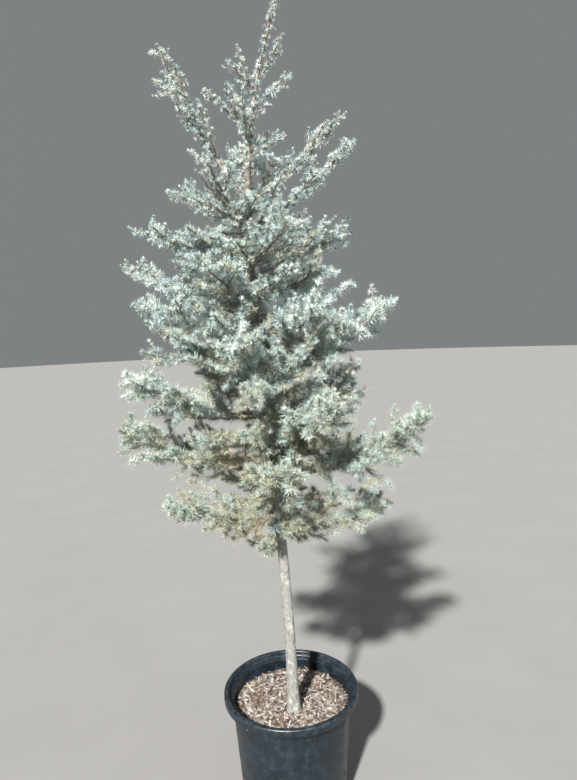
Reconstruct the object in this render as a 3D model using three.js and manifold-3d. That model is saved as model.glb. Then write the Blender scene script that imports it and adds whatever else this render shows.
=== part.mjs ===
// A young blue atlas cedar in a black nursery pot, in millimetres, +Z up.
// The origin is the centre of the pot's flat underside. +X is to the right of the front view and -Y is the
// front. The trunk leaves the potting mix a little in front of the pot's middle, sways left and comes back
// at the leader. Boughs leave it in nine tiers, flat at the bottom and steep at the top. A long bough is a
// bare limb as far as its foliage, and a short one is foliage from the trunk on. Each mass of foliage is one
// stem with side shoots, all set with sprays of needles.
import * as THREE from "three";
import { mergeVertices } from "three/addons/utils/BufferGeometryUtils.js";
import Module from "manifold-3d";

const wasm = await Module();
wasm.setup();

// Driving dimensions of the pot and what fills it
const pot = { rimRadius: 210, mouthRadius: 187, footRadius: 160, height: 380, wall: 4, sideCount: 32 };
const lip = { drop: 24, thickness: 4, round: 3, inset: 6, neck: 199 };
const drain = { count: 8, radius: 11, ring: 118, sideCount: 8 };
const mix = { level: 335, edgeDrop: 8, crownRadius: 95 };
const fitGap = 0.3;

// Driving dimensions of the trunk
const treeTop = 2390;
const trunkFoot = new THREE.Vector3(6, -56, mix.level + fitGap);
const trunkSway = { left: 75, tipRight: 30, back: 24 };
const trunkSize = { footRadius: 17.5, tipRadius: 1.4, taper: 0.68, flare: 7, flareHeight: 34 };
const trunkEnd = 2215; // the last stretch up to the tip is the leader's own foliage
const trunkRings = { flare: [0, 14, 34, 70], above: 16, sideCount: 10 };

// One row a tier, from the lowest up, with its boughs to the right, back, left and front. reach is a bough's
// length, with 0 for none, rise its slope where it leaves the trunk, upturn what it gains by the tip, and turn
// the tier's own bearing.
const tiers = [
  {
    height: [929, 965, 943, 915], reach: [320, 280, 325, 190],
    rise: [-3, 0, -2, 6], upturn: 30, turn: 10,
  },
  {
    height: [1069, 1105, 1083, 1047], reach: [475, 380, 460, 320],
    rise: [5, 5, 5, 5], upturn: 36, turn: -10,
  },
  {
    height: [1219, 1255, 1255, 1197], reach: [290, 420, 415, 370],
    rise: [10, 10, 8, 10], upturn: 22, turn: 28,
  },
  {
    height: [1400, 1395, 1373, 1337], reach: [405, 380, 340, 340],
    rise: [14, 14, 14, 14], upturn: 22, turn: -14,
  },
  {
    height: [1474, 1510, 1480, 1452], reach: [250, 390, 370, 310],
    rise: [12, 12, 8, 12], upturn: 18, turn: 38,
  },
  {
    height: [1584, 1620, 1590, 1562], reach: [230, 360, 440, 320],
    rise: [11, 11, 6, 11], upturn: 14, turn: -24,
  },
  {
    height: [1689, 1725, 1695, 1667], reach: [325, 350, 300, 290],
    rise: [11, 11, 7, 11], upturn: 16, turn: 16,
  },
  {
    height: [1775, 1820, 1800, 1762], reach: [370, 330, 250, 270],
    rise: [28, 31, 18, 31], upturn: 20, turn: -20,
  },
  {
    height: [1836, 1870, 1848, 1812], reach: [390, 300, 445, 0],
    rise: [37, 37, 56, 37], upturn: 14, turn: 14,
  },
];
const sides = ["right", "back", "left", "front"];
const boughJitter = { reach: 0.03, height: 9, bearing: 7, rise: 3, curl: 16 };
const boughSize = { footRadius: 3, radiusPerReach: 0.0075, tipRadius: 1.1, taper: 0.8, sideCount: 5 };
const limbFrom = 380; // a bough of this reach or more has a bare limb of its own
const bareLength = { least: 34, perReach: 0.12 };

// Shoots that stand straight on the trunk: one low tuft, and those of the leader.
const trunkShoots = [
  { name: "low_shoot", height: 852, bearing: 215, length: 75, rise: 8 },
  { name: "leader_shoot_1", height: 1925, bearing: 80, length: 200, rise: 44 },
  { name: "leader_shoot_2", height: 1975, bearing: 338, length: 105, rise: 20 },
  { name: "leader_shoot_3", height: 2005, bearing: 262, length: 140, rise: 42 },
  { name: "leader_shoot_4", height: 2050, bearing: 188, length: 145, rise: 36 },
  { name: "leader_shoot_5", height: 2080, bearing: 135, length: 125, rise: 48 },
  { name: "leader_shoot_6", height: 2112, bearing: 6, length: 130, rise: 34 },
  { name: "leader_shoot_7", height: 2140, bearing: 222, length: 115, rise: 58 },
  { name: "leader_shoot_8", height: 2180, bearing: 8, length: 125, rise: 52 },
];
const trunkShootForm = { upturn: 12, curl: 6, rootRadius: 3.2, tipRadius: 1.6 };
const leader = { bands: 6, overlap: 1 };

// Side shoots, and the sprays of needles on every shoot
const sideShoot = { spacing: 64, share: 0.38, least: 48, firstAt: 0.6, stopShort: 22, upturn: 12, curl: 14 };
const sideShootHeading = { angle: 52, angleSpread: 8, riseShare: 0.55, lift: 9, liftSpread: 14 };
const sideShootRadius = { root: 2.6, tip: 1.4, ofStem: 0.8 };
const sideShootJitter = { length: 0.18, spacing: 0.15 };
const needleBand = 36; // length of shoot that one ring of needle sprays stands on
const needleReach = 21; // from the shoot's middle to the needle tips
const needleSweep = 0.62; // how far the tips lean forward, as a share of their reach
const stemSprayDepth = 28; // a side shoot's sprays start this far from the stem
const shootTurn = 27; // each ring of sprays is turned on from the last, in degrees
const shootPoint = 14; // length of the pointed bud at a shoot's end
const clearance = 2.2; // kept to the next mass's space and to the limbs

const seeds = { bough: 100, foliage: 500, trunkShoot: 700, leader: 720 };
const degree = Math.PI / 180;
const upward = new THREE.Vector3(0, 0, 1);
const rearward = new THREE.Vector3(0, 1, 0);

// Minimal standard generator: the same numbers each run, one stream for each limb.
function randomStream(seed) {
  let state = (seed * 7919 + 104729) % 2147483647;
  const next = () => {
    state = (state * 48271) % 2147483647;
    return state / 2147483647;
  };
  next();
  next();
  return { next, around: (spread) => (2 * next() - 1) * spread };
}

function headingOf(bearing, rise) {
  const level = Math.cos(rise * degree);
  return new THREE.Vector3(
    level * Math.cos(bearing * degree),
    level * Math.sin(bearing * degree),
    Math.sin(rise * degree),
  );
}

// The trunk's middle line and radius by height
function trunkShare(height) {
  return (height - trunkFoot.z) / (treeTop - trunkFoot.z);
}

function trunkMiddle(height) {
  const u = trunkShare(height);
  const sway = -trunkSway.left * Math.sin(Math.PI * u * u) + trunkSway.tipRight * u ** 8;
  return new THREE.Vector3(trunkFoot.x + sway, trunkFoot.y + trunkSway.back * u, height);
}

function trunkRadius(height) {
  const { footRadius, tipRadius, taper, flare, flareHeight } = trunkSize;
  const body = tipRadius + (footRadius - tipRadius) * (1 - trunkShare(height)) ** taper;
  return body + flare * Math.exp(-(height - trunkFoot.z) / flareHeight);
}

// A limb's middle line: equal steps that leave the start at a bearing and a rise, and turn as they go.
function limbCourse({ start, bearing, rise, upturn, curl, length }) {
  const steps = Math.max(2, Math.round(length / needleBand));
  const points = [start.clone()];
  for (let i = 0; i < steps; i++) {
    const s = (i + 0.5) / steps;
    const heading = headingOf(bearing + curl * s, rise + upturn * s ** 1.5);
    points.push(points[i].clone().addScaledVector(heading, length / steps));
  }
  return points;
}

function headings(points) {
  return points.map((p, i) => {
    const before = points[Math.max(0, i - 1)];
    const after = points[Math.min(points.length - 1, i + 1)];
    return after.clone().sub(before).normalize();
  });
}

// A closed tube along the points, with its ends cut square, or drawn to a point at the far end. A level
// tube's rings lie flat. Where spray is given, each face of each band rises to a needle tip, unless spray
// refuses it.
function tubeGeometry({ points, radii, sideCount, turn = 0, level = false, tipLength = 0, spray = null }) {
  const along = headings(points);
  const steep = Math.abs(along[0].z) > 0.96;
  const reference = level || steep ? rearward : upward;
  const corners = [];
  const triangles = [];
  const outwardAt = (i, angle) => {
    const heading = level ? upward : along[i];
    const across = new THREE.Vector3().crossVectors(heading, reference).normalize();
    const over = new THREE.Vector3().crossVectors(across, heading);
    return across.multiplyScalar(Math.cos(angle)).addScaledVector(over, Math.sin(angle));
  };
  const angleAt = (i, side) => (side / sideCount) * 2 * Math.PI + i * turn * degree;
  points.forEach((p, i) => {
    for (let side = 0; side < sideCount; side++) {
      corners.push(p.clone().addScaledVector(outwardAt(i, angleAt(i, side)), radii[i]));
    }
  });
  for (let i = 0; i + 1 < points.length; i++) {
    for (let side = 0; side < sideCount; side++) {
      const a = i * sideCount + side;
      const b = i * sideCount + ((side + 1) % sideCount);
      const c = b + sideCount;
      const d = a + sideCount;
      const tip = spray && spray(i, outwardAt(i, (angleAt(i, side + 0.5) + angleAt(i + 1, side + 0.5)) / 2));
      if (tip) {
        const t = corners.push(tip) - 1;
        triangles.push([a, d, t], [d, c, t], [c, b, t], [b, a, t]);
      } else {
        triangles.push([a, d, c], [a, c, b]);
      }
    }
  }
  const last = (points.length - 1) * sideCount;
  for (let side = 1; side + 1 < sideCount; side++) triangles.push([0, side, side + 1]);
  if (tipLength > 0) {
    const end = points[points.length - 1].clone().addScaledVector(along[points.length - 1], tipLength);
    const t = corners.push(end) - 1;
    for (let side = 0; side < sideCount; side++) {
      triangles.push([last + side, t, last + ((side + 1) % sideCount)]);
    }
  } else {
    for (let side = 1; side + 1 < sideCount; side++) triangles.push([last, last + side + 1, last + side]);
  }
  const geometry = new THREE.BufferGeometry().setFromPoints(corners);
  geometry.setIndex(triangles.flat());
  return geometry;
}

// Solids for joining and cutting
function solidOf(geometry) {
  const bare = geometry.clone();
  bare.deleteAttribute("normal");
  bare.deleteAttribute("uv");
  const merged = mergeVertices(bare, 1e-4);
  return new wasm.Manifold(
    new wasm.Mesh({
      numProp: 3,
      vertProperties: new Float32Array(merged.attributes.position.array),
      triVerts: new Uint32Array(merged.index.array),
    }),
  );
}

function largestPiece(solid) {
  return solid.decompose().reduce((most, piece) => (piece.volume() > most.volume() ? piece : most));
}

function geometryOf(solid) {
  const { numProp, vertProperties, triVerts } = largestPiece(solid).getMesh();
  const positions = new Float32Array((vertProperties.length / numProp) * 3);
  for (let i = 0; i * numProp < vertProperties.length; i++) {
    positions.set(vertProperties.subarray(i * numProp, i * numProp + 3), i * 3);
  }
  const geometry = new THREE.BufferGeometry();
  geometry.setAttribute("position", new THREE.BufferAttribute(positions, 3));
  geometry.setIndex(new THREE.BufferAttribute(new Uint32Array(triVerts), 1));
  geometry.computeVertexNormals();
  return geometry;
}

// Pot and potting mix
function latheUpright(profile) {
  const outline = profile.map(([radius, height]) => new THREE.Vector2(radius, height));
  return new THREE.LatheGeometry(outline, pot.sideCount).rotateX(Math.PI / 2);
}

function potWallRadius(height) {
  const { footRadius, mouthRadius } = pot;
  return footRadius + ((mouthRadius - footRadius) * height) / pot.height;
}

function potGeometry() {
  const { rimRadius, height, wall } = pot;
  const outer = (z) => potWallRadius(z);
  const inner = (z) => potWallRadius(z) - wall;
  const underLip = height - lip.inset;
  const body = latheUpright([
    [0, 0],
    [outer(0) - lip.inset, 0],
    [outer(lip.inset), lip.inset],
    [outer(height - lip.drop), height - lip.drop],
    [lip.neck, height - lip.drop + lip.thickness],
    [lip.neck, underLip],
    [rimRadius - lip.thickness, underLip],
    [rimRadius - lip.thickness, height - lip.drop],
    [rimRadius, height - lip.drop],
    [rimRadius, height - 2 * lip.round],
    [rimRadius - lip.round, height - 1],
    [rimRadius - 3 * lip.round, height],
    [lip.neck - wall + lip.round, height],
    [lip.neck - wall, height - lip.round],
    [lip.neck - wall, height - lip.drop + 2 * lip.thickness],
    [inner(height - lip.drop), height - lip.drop + lip.thickness],
    [inner(wall), wall],
    [0, wall],
  ]);
  const { count, radius, ring, sideCount } = drain;
  const holes = Array.from({ length: count }, (_, i) => {
    const angle = ((i + 0.5) / count) * 2 * Math.PI;
    const plug = new THREE.CylinderGeometry(radius, radius, 4 * wall, sideCount).rotateX(Math.PI / 2);
    return solidOf(plug.translate(ring * Math.cos(angle), ring * Math.sin(angle), 0));
  });
  return geometryOf(holes.reduce((left, hole) => left.subtract(hole), solidOf(body)));
}

function mixGeometry() {
  const inner = (z) => potWallRadius(z) - pot.wall - fitGap;
  const floor = pot.wall + fitGap;
  const edge = mix.level - mix.edgeDrop;
  return latheUpright([
    [0, floor],
    [inner(floor), floor],
    [inner(edge), edge],
    [(inner(edge) + mix.crownRadius) / 2, mix.level - mix.edgeDrop / 2],
    [mix.crownRadius, mix.level],
    [0, mix.level],
  ]);
}

// Trunk: level rings, closer together in the flare. A larger one is cut out of what stands on the trunk.
function trunkGeometry(extra = 0, top = trunkEnd) {
  const heights = trunkRings.flare.map((rise) => trunkFoot.z + rise);
  const plain = heights[heights.length - 1];
  for (let i = 1; i <= trunkRings.above; i++) {
    heights.push(plain + ((top - plain) * i) / trunkRings.above);
  }
  return tubeGeometry({
    points: heights.map(trunkMiddle),
    radii: heights.map((z) => trunkRadius(z) + extra),
    sideCount: trunkRings.sideCount,
    level: true,
  });
}

// Courses of every bough and of every foliage stem, worked out before any foliage grows
function boughPlan(tierIndex, side) {
  const tier = tiers[tierIndex];
  const index = tierIndex * sides.length + side;
  const random = randomStream(seeds.bough + index);
  const reach = tier.reach[side] * (1 + random.around(boughJitter.reach));
  const height = tier.height[side] + random.around(boughJitter.height);
  const points = limbCourse({
    start: trunkMiddle(height),
    bearing: side * 90 + tier.turn + random.around(boughJitter.bearing),
    rise: tier.rise[side] + random.around(boughJitter.rise),
    upturn: tier.upturn,
    curl: random.around(boughJitter.curl),
    length: reach,
  });
  const footRadius = boughSize.footRadius + reach * boughSize.radiusPerReach;
  const radii = points.map((_, i) => {
    const share = 1 - i / (points.length - 1);
    return boughSize.tipRadius + (footRadius - boughSize.tipRadius) * share ** boughSize.taper;
  });
  const bare = trunkRadius(height) + bareLength.least + reach * bareLength.perReach;
  const hasLimb = tier.reach[side] >= limbFrom;
  const split = hasLimb ? Math.max(2, Math.round((bare / reach) * (points.length - 1))) : 0;
  const name = `tier${tierIndex + 1}_${sides[side]}`;
  return { name, points, radii, split, seed: seeds.foliage + index };
}

const boughs = tiers.flatMap((tier, tierIndex) => {
  return sides.flatMap((_, side) => (tier.reach[side] > 0 ? [boughPlan(tierIndex, side)] : []));
});
const limbs = boughs.filter((bough) => bough.split > 0);

// A mass of foliage is grown on its stem: a bough past its bare part, a shoot on the trunk, or the leader.
const masses = boughs.map((bough) => ({
  name: `foliage_${bough.name}`,
  points: bough.points.slice(bough.split),
  radii: bough.radii.slice(bough.split),
  seed: bough.seed,
  onTrunk: bough.split === 0,
}));
trunkShoots.forEach(({ name, height, bearing, length, rise }, index) => {
  const { upturn, curl, rootRadius, tipRadius } = trunkShootForm;
  const points = limbCourse({ start: trunkMiddle(height), bearing, rise, upturn, curl, length });
  const radii = points.map((_, i) => rootRadius + ((tipRadius - rootRadius) * i) / (points.length - 1));
  masses.push({ name, points, radii, seed: seeds.trunkShoot + index, onTrunk: true });
});
const leaderFoot = trunkEnd - leader.overlap;
const leaderHeights = Array.from({ length: leader.bands + 1 }, (_, i) => {
  return leaderFoot + ((treeTop - shootPoint - leaderFoot) * i) / leader.bands;
});
masses.push({
  name: "leader_foliage",
  points: leaderHeights.map(trunkMiddle),
  radii: leaderHeights.map(trunkRadius),
  seed: seeds.leader,
  onTrunk: true,
});

// Distances that keep each mass in its own space
function distanceToCourse(point, points) {
  let least = Infinity;
  const span = new THREE.Vector3();
  const away = new THREE.Vector3();
  for (let i = 0; i + 1 < points.length; i++) {
    span.subVectors(points[i + 1], points[i]);
    away.subVectors(point, points[i]);
    const t = THREE.MathUtils.clamp(away.dot(span) / span.lengthSq(), 0, 1);
    least = Math.min(least, away.addScaledVector(span, -t).length());
  }
  return least;
}

const trunkCourse = Array.from({ length: 40 }, (_, i) => {
  return trunkMiddle(trunkFoot.z + ((trunkEnd - trunkFoot.z) * i) / 39);
});
const bareLimbs = limbs.map((limb) => ({
  points: limb.points.slice(0, limb.split + 1),
  radius: limb.radii[0],
}));

function clearOfLimbs(point) {
  const height = THREE.MathUtils.clamp(point.z, trunkFoot.z, trunkEnd);
  if (distanceToCourse(point, trunkCourse) < trunkRadius(height) + clearance) return false;
  return bareLimbs.every((limb) => distanceToCourse(point, limb.points) > limb.radius + clearance);
}

function inOwnSpace(point, owner) {
  const own = distanceToCourse(point, owner.points);
  return masses.every((other) => {
    return other === owner || distanceToCourse(point, other.points) > own + clearance;
  });
}

function mayReach(point, owner) {
  return inOwnSpace(point, owner) && clearOfLimbs(point);
}

// One shoot with its needle sprays, as a solid. A side shoot has none where they would lie among the stem's.
function shootSolid(owner, points, radii) {
  const along = headings(points);
  const spray = (i, outward) => {
    const middle = points[i].clone().lerp(points[i + 1], 0.5);
    const tip = middle.addScaledVector(outward, needleReach);
    tip.addScaledVector(along[i], needleReach * needleSweep);
    if (points !== owner.points && distanceToCourse(tip, owner.points) < stemSprayDepth) return null;
    return mayReach(tip, owner) ? tip : null;
  };
  const tube = tubeGeometry({ points, radii, sideCount: 3, turn: shootTurn, tipLength: shootPoint, spray });
  return solidOf(tube);
}

// Side shoots leave the stem left and right by turns, and are cut short where they would leave its space.
function sideShoots(owner) {
  const random = randomStream(owner.seed);
  const stem = owner.points;
  const along = headings(stem);
  const stepLength = stem[0].distanceTo(stem[1]);
  const length = stepLength * (stem.length - 1);
  const { angle, angleSpread, riseShare, lift, liftSpread } = sideShootHeading;
  const shoots = [];
  let hand = random.next() < 0.5 ? 1 : -1;
  let at = sideShoot.spacing * sideShoot.firstAt;
  while (at < length - sideShoot.stopShort) {
    const index = Math.min(stem.length - 2, Math.floor(at / stepLength));
    const heading = along[index];
    const wanted = sideShoot.least + (length - at) * sideShoot.share;
    const course = limbCourse({
      start: stem[index].clone().lerp(stem[index + 1], at / stepLength - index),
      length: wanted * (1 + random.around(sideShootJitter.length)),
      bearing: Math.atan2(heading.y, heading.x) / degree + hand * (angle + random.around(angleSpread)),
      rise: (Math.asin(heading.z) / degree) * riseShare + lift + random.around(liftSpread),
      upturn: sideShoot.upturn,
      curl: -hand * sideShoot.curl,
    });
    hand = -hand;
    at += sideShoot.spacing * (1 + random.around(sideShootJitter.spacing));
    let kept = 1;
    while (kept < course.length && mayReach(course[kept], owner)) kept++;
    if (kept < 3) continue;
    const points = course.slice(0, kept);
    const root = Math.min(sideShootRadius.root, owner.radii[index] * sideShootRadius.ofStem);
    shoots.push({ points, radii: points.map((_, i) => root + ((sideShootRadius.tip - root) * i) / kept) });
  }
  return shoots;
}

function massGeometry(owner, trunkCutter) {
  let solid = shootSolid(owner, owner.points, owner.radii);
  for (const { points, radii } of sideShoots(owner)) {
    solid = solid.add(shootSolid(owner, points, radii));
  }
  return geometryOf(owner.onTrunk ? solid.subtract(trunkCutter) : solid);
}

// A bare limb runs from inside the trunk, whose own shape is cut out of it, to its foliage stem.
function limbGeometry(limb, trunkCutter) {
  const points = limb.points.slice(0, limb.split + 1);
  const radii = limb.radii.slice(0, limb.split + 1);
  const along = headings(limb.points)[limb.split];
  points[limb.split] = points[limb.split].clone().addScaledVector(along, -fitGap);
  const tube = tubeGeometry({ points, radii, sideCount: boughSize.sideCount });
  return geometryOf(solidOf(tube).subtract(trunkCutter));
}

// Colours and finishes
const finishes = {
  plastic: new THREE.MeshStandardMaterial({ color: 0x23272b, roughness: 0.55, metalness: 0 }),
  mulch: new THREE.MeshStandardMaterial({ color: 0x8a6a55, roughness: 0.95, metalness: 0 }),
  trunkBark: new THREE.MeshStandardMaterial({ color: 0xb5aea3, roughness: 0.9, metalness: 0 }),
  boughBark: new THREE.MeshStandardMaterial({ color: 0x8d7562, roughness: 0.9, metalness: 0 }),
  needles: new THREE.MeshStandardMaterial({ color: 0x9fb6b8, roughness: 0.7, metalness: 0 }),
};

const tree = new THREE.Group();

function addNode(name, geometry, material) {
  const mesh = new THREE.Mesh(geometry, material);
  mesh.name = name;
  tree.add(mesh);
}

const trunkCutter = solidOf(trunkGeometry(fitGap, trunkEnd + fitGap));
addNode("pot", potGeometry(), finishes.plastic);
addNode("potting_mix", mixGeometry(), finishes.mulch);
addNode("trunk", trunkGeometry(), finishes.trunkBark);
for (const limb of limbs) {
  addNode(`bough_${limb.name}`, limbGeometry(limb, trunkCutter), finishes.boughBark);
}
for (const mass of masses) {
  addNode(mass.name, massGeometry(mass, trunkCutter), finishes.needles);
}

export default tree;
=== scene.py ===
import math

import bpy
import numpy as np
from mathutils import Matrix, Vector, noise


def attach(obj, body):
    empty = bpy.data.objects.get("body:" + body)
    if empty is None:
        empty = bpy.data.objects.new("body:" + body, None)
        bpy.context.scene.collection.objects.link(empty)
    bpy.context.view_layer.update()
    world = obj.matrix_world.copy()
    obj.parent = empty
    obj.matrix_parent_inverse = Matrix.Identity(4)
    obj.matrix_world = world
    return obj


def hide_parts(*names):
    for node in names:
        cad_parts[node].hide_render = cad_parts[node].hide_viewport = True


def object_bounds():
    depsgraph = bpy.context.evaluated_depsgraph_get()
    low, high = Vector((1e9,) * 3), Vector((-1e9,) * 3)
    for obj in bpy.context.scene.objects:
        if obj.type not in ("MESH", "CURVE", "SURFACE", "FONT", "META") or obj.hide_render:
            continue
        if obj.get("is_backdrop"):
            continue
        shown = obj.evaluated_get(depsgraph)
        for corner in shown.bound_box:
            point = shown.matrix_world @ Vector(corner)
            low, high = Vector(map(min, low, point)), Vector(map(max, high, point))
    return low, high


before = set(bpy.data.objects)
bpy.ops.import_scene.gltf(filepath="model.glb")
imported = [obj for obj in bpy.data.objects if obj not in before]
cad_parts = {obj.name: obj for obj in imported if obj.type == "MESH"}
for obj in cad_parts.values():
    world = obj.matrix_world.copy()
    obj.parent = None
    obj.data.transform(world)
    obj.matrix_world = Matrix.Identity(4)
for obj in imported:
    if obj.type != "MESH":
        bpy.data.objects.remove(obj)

# A young blue atlas cedar in a black nursery pot. The tree grows here by the same rule as the solids do, from
# the same seeds, and is carried on to finer twigs, spurs and single needles. The rule works in millimetres.
cadLow, cadHigh = (tuple(corner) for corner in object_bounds())
mm = 0.001
degree = math.pi / 180
upward = np.array([0.0, 0.0, 1.0])
print("frame loaded:", len(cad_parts), "nodes")


# Node graphs, for materials and for geometry

class Wire:
    # an output socket that can be written into sums; each sum adds a Math node
    def __init__(self, graph, socket):
        self.graph = graph
        self.socket = socket

    def other(self, name):
        return Wire(self.graph, self.socket.node.outputs[name])

    def __add__(self, value):
        return self.graph.math("ADD", self, value)

    def __radd__(self, value):
        return self.graph.math("ADD", value, self)

    def __sub__(self, value):
        return self.graph.math("SUBTRACT", self, value)

    def __rsub__(self, value):
        return self.graph.math("SUBTRACT", value, self)

    def __mul__(self, value):
        return self.graph.math("MULTIPLY", self, value)

    def __rmul__(self, value):
        return self.graph.math("MULTIPLY", value, self)

    def __truediv__(self, value):
        return self.graph.math("DIVIDE", self, value)

    def __rtruediv__(self, value):
        return self.graph.math("DIVIDE", value, self)

    def __pow__(self, value):
        return self.graph.math("POWER", self, value)

    def __rpow__(self, value):
        return self.graph.math("POWER", value, self)

    def __abs__(self):
        return self.graph.math("ABSOLUTE", self)


class Graph:
    def __init__(self, tree):
        self.tree = tree
        tree.nodes.clear()

    def node(self, kind, settings=None, values=None, out=0):
        made = self.tree.nodes.new(kind)
        for name, value in (settings or {}).items():
            setattr(made, name, value)
        for key, value in (values or {}).items():
            if isinstance(value, Wire):
                self.tree.links.new(value.socket, made.inputs[key])
            else:
                made.inputs[key].default_value = value
        return Wire(self, made.outputs[out]) if len(made.outputs) else made

    def math(self, operation, *numbers):
        return self.node("ShaderNodeMath", {"operation": operation}, dict(enumerate(numbers)))

    def vectors(self, operation, *vectors):
        return self.node("ShaderNodeVectorMath", {"operation": operation}, dict(enumerate(vectors)))

    def place(self, stretch=(1, 1, 1)):
        return self.vectors("MULTIPLY", self.node("ShaderNodeTexCoord", out="Object"), stretch)

    def height(self, place):
        return self.node("ShaderNodeSeparateXYZ", {}, {0: place}, out="Z")

    def grain(self, place, size, detail=3):
        values = {"Vector": place, "Scale": 1 / size, "Detail": detail, "Roughness": 0.55}
        return self.node("ShaderNodeTexNoise", {}, values)

    def step(self, value, low, high, toLow=0.0, toHigh=1.0):
        values = {"Value": value, "From Min": low, "From Max": high, "To Min": toLow, "To Max": toHigh}
        return self.node("ShaderNodeMapRange", {"interpolation_type": "SMOOTHSTEP"}, values)

    def spots(self, place, size, detail, low, high):
        return self.step(self.grain(place, size, detail), low, high)

    def mix(self, share, first, second):
        return self.node("ShaderNodeMix", {"data_type": "RGBA"}, {0: share, 6: first, 7: second}, out=2)

    def surface(self, colour, rough, relief=None, depth=0.001, strength=1.0):
        values = {"Base Color": colour, "Roughness": rough}
        if relief is not None:
            bump = {"Height": relief, "Distance": depth, "Strength": strength}
            values["Normal"] = self.node("ShaderNodeBump", {}, bump)
        shader = self.node("ShaderNodeBsdfPrincipled", {}, values)
        self.node("ShaderNodeOutputMaterial", {}, {"Surface": shader})

    def carried(self, name, kind="FLOAT"):
        return self.node("GeometryNodeInputNamedAttribute", {"data_type": kind}, {"Name": name})

    def random(self, low, high, seed):
        values = {2: low, 3: high, "Seed": seed}
        return self.node("FunctionNodeRandomValue", {"data_type": "FLOAT"}, values, out=1)

    def vector(self, x, y, z):
        return self.node("ShaderNodeCombineXYZ", {}, {"X": x, "Y": y, "Z": z})

    def toward(self, facing):
        return self.node("FunctionNodeAlignRotationToVector", {"axis": "Z"}, {"Vector": facing})

    def tilted(self, rotation, angles):
        tilt = self.node("FunctionNodeEulerToRotation", {}, {"Euler": angles})
        values = {"Rotation": rotation, "Rotate By": tilt}
        return self.node("FunctionNodeRotateRotation", {"rotation_space": "LOCAL"}, values)


def srgb(red, green, blue):
    # a colour as a paint chart gives it, 0 to 255
    linear = [((c / 255 + 0.055) / 1.055) ** 2.4 if c > 10 else c / 255 / 12.92 for c in (red, green, blue)]
    return (*linear, 1.0)


def tinted(colour, tint):
    return tuple(c * t for c, t in zip(colour, tint)) + (1.0,)


def newMaterial(name, paint):
    material = bpy.data.materials.new(name)
    material.use_nodes = True
    paint(Graph(material.node_tree))
    return material


def newTree(name, sizes):
    # a geometry tree with a named input for each size; returns its graph and those inputs as wires
    tree = bpy.data.node_groups.new(name, "GeometryNodeTree")
    tree.interface.new_socket("Geometry", in_out="INPUT", socket_type="NodeSocketGeometry")
    for label, value in sizes.items():
        kind = "NodeSocketInt" if isinstance(value, int) else "NodeSocketFloat"
        tree.interface.new_socket(label, in_out="INPUT", socket_type=kind)
    tree.interface.new_socket("Geometry", in_out="OUTPUT", socket_type="NodeSocketGeometry")
    graph = Graph(tree)
    geometry = graph.node("NodeGroupInput")
    return graph, geometry, {label: geometry.other(label) for label in sizes}


def closeTree(graph, geometry, material):
    whole = graph.node("GeometryNodeRealizeInstances", {}, {"Geometry": geometry})
    painted = graph.node("GeometryNodeSetMaterial", {}, {"Geometry": whole, "Material": material})
    graph.node("NodeGroupOutput", {}, {0: painted})
    return graph


def linked(name, data):
    made = bpy.data.objects.new(name, data)
    bpy.context.scene.collection.objects.link(made)
    return made


def settled(piece):
    # its mesh with every modifier worked in, and the modifiers gone
    depsgraph = bpy.context.evaluated_depsgraph_get()
    result = bpy.data.meshes.new_from_object(piece.evaluated_get(depsgraph), depsgraph=depsgraph)
    piece.modifiers.clear()
    piece.data = result
    return result


carriedNames = ("girth", "facing", "size", "count", "spread", "phase", "id")


def carry(mesh, name, kind, values):
    key = "vector" if kind == "FLOAT_VECTOR" else "value"
    mesh.attributes.new(name, kind, "POINT").data.foreach_set(key, values)


def runTree(name, mesh, graph, sizes):
    # the tree's result on this mesh, as a plain mesh in an object of its own
    piece = linked(name, mesh)
    modifier = piece.modifiers.new("grow", "NODES")
    modifier.node_group = graph.tree
    for item in graph.tree.interface.items_tree:
        if item.item_type == "SOCKET" and item.in_out == "INPUT" and item.name in sizes:
            modifier[item.identifier] = sizes[item.name]
    result = settled(piece)
    result.name = name
    painted = [material for material in result.materials if material]
    result.materials.clear()
    result.materials.append(painted[0])
    result.polygons.foreach_set("material_index", np.zeros(len(result.polygons), np.int32))
    for spent in [a.name for a in result.attributes if a.name in carriedNames]:
        result.attributes.remove(result.attributes[spent])
    return piece


def newMesh(name, corners, faces=(), edges=()):
    mesh = bpy.data.meshes.new(name)
    mesh.from_pydata(np.asarray(corners, float).tolist(), edges, faces)
    mesh.update()
    return mesh


def newPiece(name, mesh, material):
    piece = linked(name, mesh)
    mesh.materials.clear()
    mesh.materials.append(material)
    mesh.shade_smooth()
    return piece


def handOver(piece, nodes):
    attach(piece, "root")
    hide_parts(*nodes)
    print(piece.name, "has", sum(len(p.vertices) - 2 for p in piece.data.polygons), "triangles")


def turnsOf(count):
    return np.arange(count) / count * 2 * math.pi


def ringAt(radius, z, turns, x=0, y=0):
    return [(x + radius * math.cos(a), y + radius * math.sin(a), z) for a in turns]


def tubeFaces(ringCount, sideCount, first=0):
    # round a tube of rings, with a cap at each end
    faces = []
    for ring in range(ringCount - 1):
        for side in range(sideCount):
            a = first + ring * sideCount + side
            b = first + ring * sideCount + (side + 1) % sideCount
            faces.append((a, b, b + sideCount, a + sideCount))
    faces.append(tuple(first + side for side in reversed(range(sideCount))))
    faces.append(tuple(first + (ringCount - 1) * sideCount + side for side in range(sideCount)))
    return faces


def spunMesh(name, first, rings, last, downward=False):
    # a skin over rings of corners in millimetres, from a middle point at one end to one at the other
    count = len(rings[0])
    corners = [first, last] + [corner for ring in rings for corner in ring]
    end = 2 + (len(rings) - 1) * count
    faces = []
    for side in range(count):
        after = (side + 1) % count
        faces += [(0, 2 + after, 2 + side), (1, end + side, end + after)]
        for a in range(2, end, count):
            faces.append((a + side, a + after, a + count + after, a + count + side))
    if downward:
        faces = [face[:1] + face[:0:-1] for face in faces]
    return newMesh(name, np.array(corners) * mm, faces)


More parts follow.
